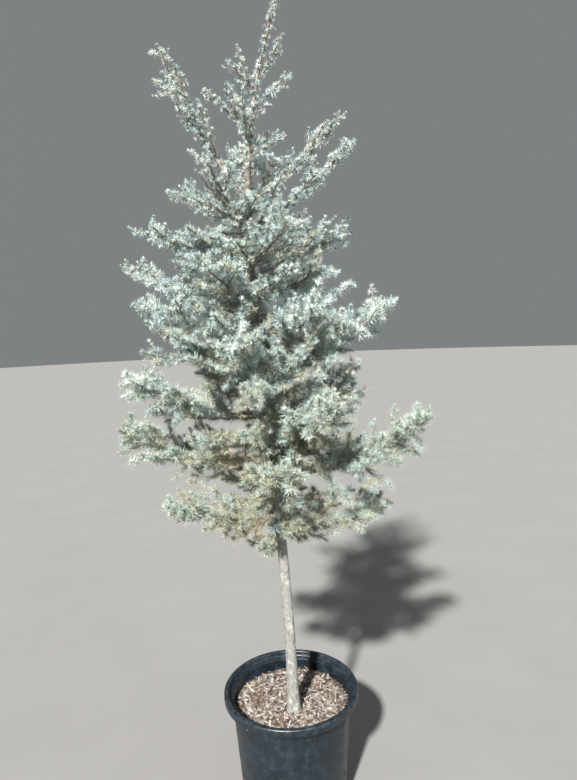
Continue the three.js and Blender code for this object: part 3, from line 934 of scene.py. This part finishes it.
def tuftsOn(shoot, random):
    # rows without their tone: single needles where the shoot is a brush, then tufts, then needles at its tip
    points, radii, order = shoot["points"], shoot["radii"], shoot["order"]
    form, slender, rows = tuftForm, shoot.get("slender", False), []
    along, across, over = framesAlong(points)
    run = runAlong(points)
    bodyEnd, tipHeight = run[-1] - tipForm["length"], points[-1][2]
    at, turn = form["spacing"][order] * random.above(*form["firstAt"]), 360 * random.next()
    brush = brushForm["shoot" if order else "stem"]
    share = np.interp(tipHeight, brushForm["heights"], brushForm["shares"])
    if order == 0:
        share = 1 if tipHeight < brushForm["stemsBelow"] else 0
    if random.next() < share:
        while at < bodyEnd:
            i = int(np.searchsorted(run, at))
            facing = along[i] + upward * brushForm["lift"]
            facing /= np.linalg.norm(facing)
            size = brush["size"] * random.above(brushForm["least"], brushForm["sizeSpread"])
            rows.append((*points[i], *facing, size, brush["needles"], brushForm["spread"], noSpur))
            at += brush["step"]
    while at < run[-1] - tipForm["length"] * tipForm["from"]:
        i = int(np.searchsorted(run, at))
        side = across[i] * math.cos(turn * degree) + over[i] * math.sin(turn * degree)
        lean = form["lean"] * (1 + random.around(form["leanJitter"])) * degree
        facing = side * math.cos(lean) + along[i] * math.sin(lean) + upward * form["lift"]
        facing /= np.linalg.norm(facing)
        place = points[i] + side * radii[i] * form["rooted"] + facing * form["spur"]
        size = random.above(form["least"], form["sizeSpread"])
        # from below, the high boughs show their bare underside
        if order > 1 or slender or place[2] < form["heights"][1] or side[2] > -form["bareUnder"]:
            spur = seenSpur if order < 2 else hiddenSpur
            drawn, count = size * ageSize(place[2]), form["needles"] * size
            rows.append((*place, *facing, drawn, count, form["spread"], spur))
        turn += form["turn"]
        gap = form["spacing"][order] * np.interp(place[2], form["heights"], form["gaps"])
        if order == 0:
            gap *= form["slenderGap"] if slender else np.interp(place[2], form["heights"], form["stemGaps"])
        at += gap * (1 + random.around(form["spacingJitter"]))
    tip = bodyEnd
    while tip < run[-1] - 1:
        i = min(len(points) - 1, int(np.searchsorted(run, max(0, tip))))
        size = random.above(tipForm["least"], tipForm["sizeSpread"]) * ageSize(points[i][2])
        rows.append((*points[i], *along[i], size, tipForm["needles"], tipForm["spread"], noSpur))
        tip += tipForm["step"]
    return np.array(rows)


def needleTips(rows):
    return rows[:, :3] + rows[:, 3:6] * tuftForm["reach"]


def allTufts():
    random = RandomStream(seeds["tufts"])
    found = []
    for shoot in shoots:
        rows = tuftsOn(shoot, random)
        tips = needleTips(rows)
        rows = rows[clearOfLimbs(tips) if shoot.get("free") else mayReach(tips, shoot["owner"])]
        shared = tuftForm["shootTone"] * random.next()
        found.append(np.column_stack([rows, [shared + tuftForm["ownTone"] * random.next() for _ in rows]]))
    for limb in limbs:
        # old spurs on the bare part of a limb
        bare = slice(limb["split"] + 1)
        places, girth = smoothCourse(limb["points"][bare], limb["radii"][bare], shootForm["step"])
        rows = tuftsOn({"points": places, "radii": girth, "order": 0}, random)
        rows = rows[(rows[:, spurAt] > noSpur) & clearOfLimbs(needleTips(rows))]
        found.append(np.column_stack([rows, [random.next() for _ in rows]]))
    form, z, turn, rows = trunkTufts, trunkTufts["from"], 0.0, []
    while z < trunkSizes["end"]:
        side = headingOf(turn, form["rise"])
        place = trunkMiddle(z) + side * (trunkRadius(z) + tuftForm["spur"])
        size = random.above(form["least"], form["sizeSpread"]) * ageSize(z)
        rows.append((*place, *side, size, form["needles"], tuftForm["spread"], seenSpur, random.next()))
        turn += tuftForm["turn"]
        sparse = 1 if z > form["fullFrom"] else form["sparse"]
        z += form["spacing"] * sparse * (1 + random.around(tuftForm["spacingJitter"]))
    return np.vstack(found + [np.array(rows)])


needleForm = {"Length": 0.0174, "Radius": 0.00074, "Fold": 0.7, "Length spread": 0.2, "Seed": 11}
needleStance = {"goldenTurn": 2.39996, "leanJitter": 0.12, "turnJitter": 0.35, "pinch": 0.12, "phases": 97}
spurForm = {"Sides": 3, "Root radius": 0.0014, "End radius": 0.001, "Height": 0.0042}
spurBack = 3.6  # from a tuft's place back to the middle of its spur
# a tuft takes the first colour whose limit is above its weight
needleColours = {
    "silver": {"limit": 0.62, "dark": srgb(147, 161, 156), "light": srgb(228, 236, 230)},
    "blue": {"limit": 0.9, "dark": srgb(110, 134, 136), "light": srgb(199, 217, 214)},
    "sage": {"limit": 1.38, "dark": srgb(116, 121, 105), "light": srgb(207, 210, 192)},
    "tan": {"limit": 9.0, "dark": srgb(124, 112, 92), "light": srgb(203, 192, 168)},
}
crownForm = {
    "heights": (1000, 1700, 2100, 2300), "reach": (330, 330, 150, 60),
    "low": (1680, 1120), "high": (1750, 2000),
}
colourWeights = {"highTone": 0.32, "inner": 0.4, "highInner": 0.3, "high": 0.2, "low": 0.36, "lowOuter": 0.12}
# the needles of the low boughs are older and warmer, with painted shade making them darker
lowNeedlesWarmAndShaded = {"from": 1.6, "to": 1.1, "tint": (0.86, 0.845, 0.79)}
needlesPerPiece = 76000


def ramp(values, start, end):
    return np.clip((values - start) / (end - start), 0, 1)


def colourOf(tufts):
    # silver and blue at the outside and the top, sage and tan towards the inside and the foot
    heights, add = tufts[:, 2], colourWeights
    middles = np.array([trunkMiddle(min(z, trunkSizes["top"])) for z in heights])
    reach = np.interp(heights, crownForm["heights"], crownForm["reach"])
    outer = np.clip(np.linalg.norm((tufts[:, :3] - middles)[:, :2], axis=1) / reach, 0, 1)
    low, high = ramp(heights, *crownForm["low"]), ramp(heights, *crownForm["high"])
    weight = tufts[:, toneAt] * (1 - add["highTone"] * high)
    weight += (add["inner"] - add["highInner"] * high) * (1 - outer)
    weight += add["high"] * high + low * (add["low"] - add["lowOuter"] * outer)
    names = np.full(len(tufts), "", dtype=object)
    for name, look in reversed(needleColours.items()):
        names[weight < look["limit"]] = name
    return names


def paintNeedles(dark, light):
    def paint(graph):
        place = graph.place()
        shade = graph.spots(place, 0.0045, 2, 0.36, 0.62)
        rough = graph.step(graph.grain(place, 0.0024, 2), 0.3, 0.7, 0.5, 0.72)
        # low needles: warmer in colour, and darker as painted shade
        older = graph.mix(shade, tinted(dark, lowNeedlesWarmAndShaded["tint"]), tinted(light, lowNeedlesWarmAndShaded["tint"]))
        low = graph.step(graph.height(place), lowNeedlesWarmAndShaded["from"], lowNeedlesWarmAndShaded["to"])
        graph.surface(graph.mix(low, graph.mix(shade, dark, light), older), rough)
    return paint


def needleTree(material):
    graph, geometry, sizes = newTree("needles", needleForm)
    stance, seed = needleStance, sizes["Seed"]
    size, count = graph.carried("size"), graph.carried("count", "INT")
    points = graph.node("GeometryNodeMeshToPoints", {}, {"Mesh": geometry})
    values = {"Geometry": points, "Amount": count}
    copies = graph.node("GeometryNodeDuplicateElements", {"domain": "POINT"}, values)
    number = copies.other("Duplicate Index")
    jitter = graph.random(-stance["leanJitter"], stance["leanJitter"], seed + 1)
    lean = ((number + 0.5) / count) ** 0.5 * graph.carried("spread") + jitter
    jitter = graph.random(-stance["turnJitter"], stance["turnJitter"], seed + 2)
    turn = number * stance["goldenTurn"] + graph.carried("phase") + jitter
    base = graph.toward(graph.carried("facing", "FLOAT_VECTOR"))
    turned = graph.tilted(base, graph.vector(lean, 0.0, turn))
    spread = sizes["Length spread"]
    length = sizes["Length"] * size * graph.random(1 - spread, 1 + spread, seed + 3)
    # one face, drawn out to a blade from corner to corner and folded along its middle
    values = {"Size X": 1.0, "Size Y": 1.0, "Vertices X": 2, "Vertices Y": 2}
    needle = graph.node("GeometryNodeMeshGrid", {}, values)
    corner = graph.node("ShaderNodeSeparateXYZ", {}, {0: graph.node("GeometryNodeInputPosition")})
    x, y = corner.other("X"), corner.other("Y")
    width = abs(x - y)
    blade = graph.vector(x - y, width * sizes["Fold"], (x + y + 1) * 0.5 - width * stance["pinch"])
    needle = graph.node("GeometryNodeSetPosition", {}, {"Geometry": needle, "Position": blade})
    values = {"Points": copies, "Instance": needle, "Rotation": turned}
    values["Scale"] = graph.vector(sizes["Radius"], sizes["Radius"], length)
    return closeTree(graph, graph.node("GeometryNodeInstanceOnPoints", {}, values), material)


def spurTree(material):
    graph, geometry, sizes = newTree("spurs", spurForm)
    values = {
        "Vertices": sizes["Sides"], "Radius Top": sizes["End radius"], "Radius Bottom": sizes["Root radius"],
        "Depth": sizes["Height"],
    }
    spur = graph.node("GeometryNodeMeshCone", {}, values)
    points = graph.node("GeometryNodeMeshToPoints", {}, {"Mesh": geometry})
    turned = graph.toward(graph.carried("facing", "FLOAT_VECTOR"))
    values = {"Points": points, "Instance": spur, "Rotation": turned}
    return closeTree(graph, graph.node("GeometryNodeInstanceOnPoints", {}, values), material)


def tuftPoints(name, tufts, back=0.0):
    mesh = newMesh(name, (tufts[:, :3] - tufts[:, 3:6] * back) * mm)
    carry(mesh, "facing", "FLOAT_VECTOR", tufts[:, 3:6].ravel())
    carry(mesh, "size", "FLOAT", tufts[:, sizeAt])
    carry(mesh, "count", "INT", np.round(tufts[:, countAt]).astype(int))
    carry(mesh, "spread", "FLOAT", tufts[:, spreadAt])
    carry(mesh, "phase", "FLOAT", tufts[:, toneAt] * needleStance["phases"] % 6.283)
    return mesh


def trimNeedles(piece, cornersEach=4, margin=0.2):
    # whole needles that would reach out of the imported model's box are left out
    mesh = piece.data
    places = np.zeros(len(mesh.vertices) * 3)
    mesh.vertices.foreach_get("co", places)
    places = places.reshape(-1, cornersEach, 3)
    keep = inBox(places / mm, margin).all(1)
    if keep.all():
        return
    faces = np.arange(keep.sum())[:, None] * cornersEach + np.array(mesh.polygons[0].vertices)
    fresh = newMesh("trimmed", places[keep].reshape(-1, 3), faces.tolist())
    fresh.materials.append(mesh.materials[0])
    piece.data = fresh
    bpy.data.meshes.remove(mesh)
    fresh.name = piece.name
    print(piece.name, "lost", int((~keep).sum()), "needles outside the box")


tufts = allTufts()
tuftColours = colourOf(tufts)
print(len(tufts), "tufts with", int(tufts[:, countAt].sum()), "needles")
for colour, look in needleColours.items():
    chosen = tufts[tuftColours == colour]
    chosen = chosen[np.argsort(chosen[:, 2])]
    parts = max(1, math.ceil(int(chosen[:, countAt].sum()) / needlesPerPiece))
    material = newMaterial(colour + "Needles", paintNeedles(look["dark"], look["light"]))
    for part, group in enumerate(np.array_split(chosen, parts)):
        name = f"needles_{colour}_{part + 1}"
        piece = runTree(name, tuftPoints(name, group), needleTree(material), needleForm)
        trimNeedles(piece)
        handOver(piece, foliageNodes)
spurPoints = tuftPoints("spurs", tufts[tufts[:, spurAt] == seenSpur], spurBack)
handOver(runTree("spurs", spurPoints, spurTree(olderTwigBark), spurForm), foliageNodes)


# Pot

potSizes = {
    "rimRadius": 210, "mouthRadius": 187, "footRadius": 160, "height": 380, "wall": 4, "sideCount": 128,
    "lipDrop": 24, "lipThickness": 4, "round": 3, "footInset": 6, "neck": 199, "sharpFrom": 42,
}
drainHoles = {"count": 8, "radius": 11, "ring": 118, "sideCount": 24, "from": -10, "to": 12}


def arc(centre, radius, fromAngle, toAngle, count=6):
    angles = np.linspace(fromAngle, toAngle, count) * degree
    return [(centre[0] + radius * math.cos(a), centre[1] + radius * math.sin(a)) for a in angles]


def wallRadius(height):
    foot, mouth = potSizes["footRadius"], potSizes["mouthRadius"]
    return foot + (mouth - foot) * height / potSizes["height"]


def potOutline():
    # radius and height: under the foot, up the wall, round the lip, down the inside and over the floor;
    # the small numbers are the moulding's steps and roundings
    size = potSizes
    rim, height, wall, rounding = size["rimRadius"], size["height"], size["wall"], size["round"]
    inset, drop, thick = size["footInset"], size["lipDrop"], size["lipThickness"]
    outline = [(wallRadius(0) - inset - 14, 0), (wallRadius(0) - inset, 0)]
    outline += arc((wallRadius(0) - inset + 1, inset), inset - 0.6, -85, -5)
    neck, step = size["neck"], height - drop
    outline += [(wallRadius(z), z) for z in np.linspace(14, step - 2, 40)]
    outline += [(wallRadius(step) + 2, step + 0.5)]
    outline += [(neck - 2, step + thick - 0.6), (neck, step + thick + 1.4)]
    outline += [(neck, height - inset - 1.5), (neck + 1.5, height - inset)]
    outline += [(rim - thick, height - inset), (rim - thick, height - drop + 1.5)]
    outline += arc((rim - thick / 2, height - drop + 1.5), thick / 2 - 0.1, 180, 360)
    outline += [(rim - 0.1, height - 2 * rounding - 3)]
    outline += arc((rim - 2 * rounding, height - 2 * rounding), 2 * rounding - 0.1, 0, 90)
    inside = neck - wall
    outline += [(inside + 6, height - 0.1)]
    outline += arc((inside + 4, height - 4), 4 - 0.1, 95, 178)
    outline += [(inside, step + 2 * thick + 2), (inside - 2, step + 2 * thick - 0.6)]
    outline += [(wallRadius(step) - wall + 2, step + thick + 0.6)]
    outline += [(wallRadius(step) - wall, step + thick - 1.6)]
    outline += [(wallRadius(z) - wall, z) for z in np.linspace(step, wall + 6, 30)]
    return outline + [(wallRadius(wall) - wall - 3, wall + 0.5), (wallRadius(wall) - wall - 12, wall)]


def paintPot(graph):
    place = graph.place()
    height = graph.height(place)
    streaks = graph.spots(graph.place((1, 1, 0.12)), 0.012, 4, 0.5, 0.72)
    scuffs = graph.spots(graph.place((1, 1, 6)), 0.02, 5, 0.6, 0.72)
    dust = graph.spots(place, 0.03, 5, 0.42, 0.7)
    splash = graph.step(height, 0.11, 0.0) * graph.spots(place, 0.012, 4, 0.4, 0.62)
    rimDust = graph.step(height, 0.352, 0.379) * graph.spots(place, 0.018, 4, 0.38, 0.64)
    colour = graph.mix(graph.spots(place, 0.07, 4, 0.35, 0.65), srgb(9, 19, 26), srgb(15, 26, 34))
    colour = graph.mix(streaks * 0.2, colour, srgb(44, 54, 63))
    colour = graph.mix(dust * 0.12, colour, srgb(64, 81, 92))
    colour = graph.mix(scuffs * 0.2, colour, srgb(88, 96, 102))
    colour = graph.mix(rimDust * 0.12, colour, srgb(104, 112, 118))
    colour = graph.mix(splash * 0.55, colour, srgb(122, 114, 102))
    rough = graph.step(dust + scuffs + splash, 0.0, 1.6, 0.36, 0.78)
    relief = graph.grain(place, 0.004, 4) * 0.4 + graph.grain(place, 0.05, 2)
    graph.surface(colour, rough, relief, 0.0007, 0.6)


def potPiece():
    turns = turnsOf(potSizes["sideCount"])
    rings = [ringAt(radius, z, turns) for radius, z in potOutline()]
    mesh = spunMesh("pot_shell", (0, 0, 0), rings, (0, 0, potSizes["wall"]))
    piece = newPiece("pot_shell", mesh, newMaterial("potPlastic", paintPot))
    hole, corners, faces = drainHoles, [], []
    for i in range(hole["count"]):
        angle = (i + 0.5) / hole["count"] * 2 * math.pi
        x, y = hole["ring"] * math.cos(angle), hole["ring"] * math.sin(angle)
        faces += tubeFaces(2, hole["sideCount"], len(corners))
        for z in (hole["from"], hole["to"]):
            corners += ringAt(hole["radius"], z, turnsOf(hole["sideCount"]), x, y)
    plugs = linked("plugs", newMesh("plugs", np.array(corners) * mm, faces))
    cut = piece.modifiers.new("drain holes", "BOOLEAN")
    cut.operation = "DIFFERENCE"
    cut.solver = "EXACT"
    cut.object = plugs
    result = settled(piece)
    bpy.data.objects.remove(plugs)
    result.shade_smooth()
    result.set_sharp_from_angle(angle=potSizes["sharpFrom"] * degree)
    return piece


handOver(potPiece(), ["pot"])


# Potting mix: a rough bed of shredded bark, and loose pieces lying on it

mixSizes = {
    "level": 335, "edgeDrop": 8, "crownRadius": 95, "gap": 0.3, "slack": 0.4, "relief": 5.5, "lumpWidth": 60,
    "lumps": 0.7, "clodWidth": 13, "clods": 0.55, "rings": 46, "sideCount": 150, "skirt": 20,
}
chipForm = {"Length": 0.024, "Width": 0.0033, "Thickness": 0.0015}
chipSpread = {
    "tilts": ((-0.5, 0.5), (-0.3, 0.3), (0.0, 6.283)), "scales": ((0.25, 1.9), (0.4, 2.0), (0.6, 1.6)),
    "shapes": 3, "shapesApart": 3.7, "ragged": 1.7, "raggedScale": 1.7, "lift": 1.2, "span": 162, "step": 6,
    "offTrunk": 30,
}
chipKinds = {
    "tan": {"dark": srgb(112, 99, 88), "light": srgb(167, 159, 149), "Density": 7500.0, "Seed": 3},
    "brown": {"dark": srgb(58, 46, 39), "light": srgb(108, 90, 79), "Density": 9000.0, "Seed": 5},
    "grey": {"dark": srgb(96, 94, 91), "light": srgb(160, 157, 152), "Density": 5200.0, "Seed": 8},
}


def bedRadius(height):
    return wallRadius(height) - potSizes["wall"] - mixSizes["gap"]


def mixHeight(x, y):
    size = mixSizes
    crown = size["crownRadius"]
    share = min(1, max(0, (math.hypot(x, y) - crown) / (bedRadius(size["level"]) - crown)))
    lump, clod = size["lumpWidth"], size["clodWidth"]
    rough = lumps(x / lump, y / lump, 3, octaves=4) * size["lumps"]
    rough += lumps(x / clod, y / clod, 8, octaves=4) * size["clods"]
    return size["level"] - size["edgeDrop"] * share + rough * size["relief"]


def mixMesh():
    size, turns = mixSizes, turnsOf(mixSizes["sideCount"])
    outer = bedRadius(size["level"] - size["edgeDrop"]) - size["slack"]
    floor = potSizes["wall"] + size["gap"]
    rings = []
    for k in range(1, size["rings"] + 1):
        ring = ringAt(outer * k / size["rings"], 0, turns)
        rings.append([(x, y, mixHeight(x, y)) for x, y, _ in ring])
    rings += [ringAt(bedRadius(z) - size["slack"], z, turns) for z in (size["level"] - size["skirt"], floor)]
    return spunMesh("mulch_bed", (0, 0, mixHeight(0, 0)), rings, (0, 0, floor), downward=True)


def paintMix(graph):
    place = graph.place()
    fibre = graph.spots(graph.place((1, 3.2, 1)), 0.009, 4, 0.42, 0.66)
    colour = graph.mix(graph.spots(place, 0.006, 5, 0.34, 0.66), srgb(38, 32, 29), srgb(98, 86, 76))
    colour = graph.mix(fibre * 0.6, colour, srgb(140, 130, 118))
    graph.surface(colour, 0.95, graph.grain(place, 0.003, 5) + fibre * 0.6, 0.003)


def paintChips(dark, light):
    def paint(graph):
        place = graph.place()
        colour = graph.mix(graph.spots(place, 0.014, 3, 0.36, 0.64), dark, light)
        graph.surface(colour, 0.9, graph.grain(place, 0.0035, 4), 0.0009)
    return paint


def chipTree(material, form):
    graph, geometry, sizes = newTree("chips", form)
    seed, ragged = sizes["Seed"], chipSpread["ragged"]
    values = {"Mesh": geometry, "Density": sizes["Density"], "Seed": seed}
    scattered = graph.node("GeometryNodeDistributePointsOnFaces", {}, values)
    shapes = graph.node("GeometryNodeJoinGeometry")
    for kind in range(chipSpread["shapes"]):
        values = {"Size": (1, 1, 1), "Vertices X": 4, "Vertices Y": 2, "Vertices Z": 2}
        block = graph.node("GeometryNodeMeshCube", {}, values)
        apart = (kind * chipSpread["shapesApart"], kind, 0)
        shift = graph.vectors("ADD", graph.node("GeometryNodeInputPosition"), apart)
        values = {"Vector": shift, "Scale": chipSpread["raggedScale"], "Detail": 1.0}
        offset = graph.node("ShaderNodeTexNoise", {}, values, out="Color")
        offset = graph.vectors("MULTIPLY", graph.vectors("SUBTRACT", offset, (0.5, 0.5, 0.5)), (ragged,) * 3)
        block = graph.node("GeometryNodeSetPosition", {}, {"Geometry": block, "Offset": offset})
        shape = graph.node("GeometryNodeGeometryToInstance", {}, {"Geometry": block})
        graph.tree.links.new(shape.socket, shapes.socket.node.inputs[0])
    tilts = [graph.random(*ends, seed + number) for number, ends in enumerate(chipSpread["tilts"], 1)]
    scales = [graph.random(*ends, seed + number) for number, ends in enumerate(chipSpread["scales"], 4)]
    # length, width and thickness by turns
    scales = [sizes[label] * scale for label, scale in zip(chipForm, scales)]
    picked = {4: 0, 5: chipSpread["shapes"] - 1, "Seed": seed + 7}
    values = {
        "Points": scattered, "Instance": shapes, "Pick Instance": True, "Scale": graph.vector(*scales),
        "Rotation": graph.tilted(scattered.other("Rotation"), graph.vector(*tilts)),
        "Instance Index": graph.node("FunctionNodeRandomValue", {"data_type": "INT"}, picked, out=2),
    }
    return closeTree(graph, graph.node("GeometryNodeInstanceOnPoints", {}, values), material)


def chipGround():
    # the part of the bed where loose pieces may lie, clear of the pot's wall and of the trunk
    span, step, lift = chipSpread["span"], chipSpread["step"], chipSpread["lift"]
    count = span // step
    marks = [i * step for i in range(-count, count + 1)]
    corners = [(x * mm, y * mm, (mixHeight(x, y) + lift) * mm) for x in marks for y in marks]
    faces = []
    for i in range(2 * count):
        for j in range(2 * count):
            x, y = (i - count + 0.5) * step, (j - count + 0.5) * step
            if math.hypot(x, y) < span and math.hypot(x - footX, y - footY) > chipSpread["offTrunk"]:
                a, b = i * len(marks) + j, (i + 1) * len(marks) + j
                faces.append((a, b, b + 1, a + 1))
    return newMesh("chip_ground", corners, faces)


handOver(newPiece("mulch_bed", mixMesh(), newMaterial("mulchBed", paintMix)), ["potting_mix"])
for kind, look in chipKinds.items():
    form = {**chipForm, "Density": look["Density"], "Seed": look["Seed"]}
    material = newMaterial(kind + "Chips", paintChips(look["dark"], look["light"]))
    chips = runTree("mulch_chips_" + kind, chipGround(), chipTree(material, form), form)
    handOver(chips, ["potting_mix"])
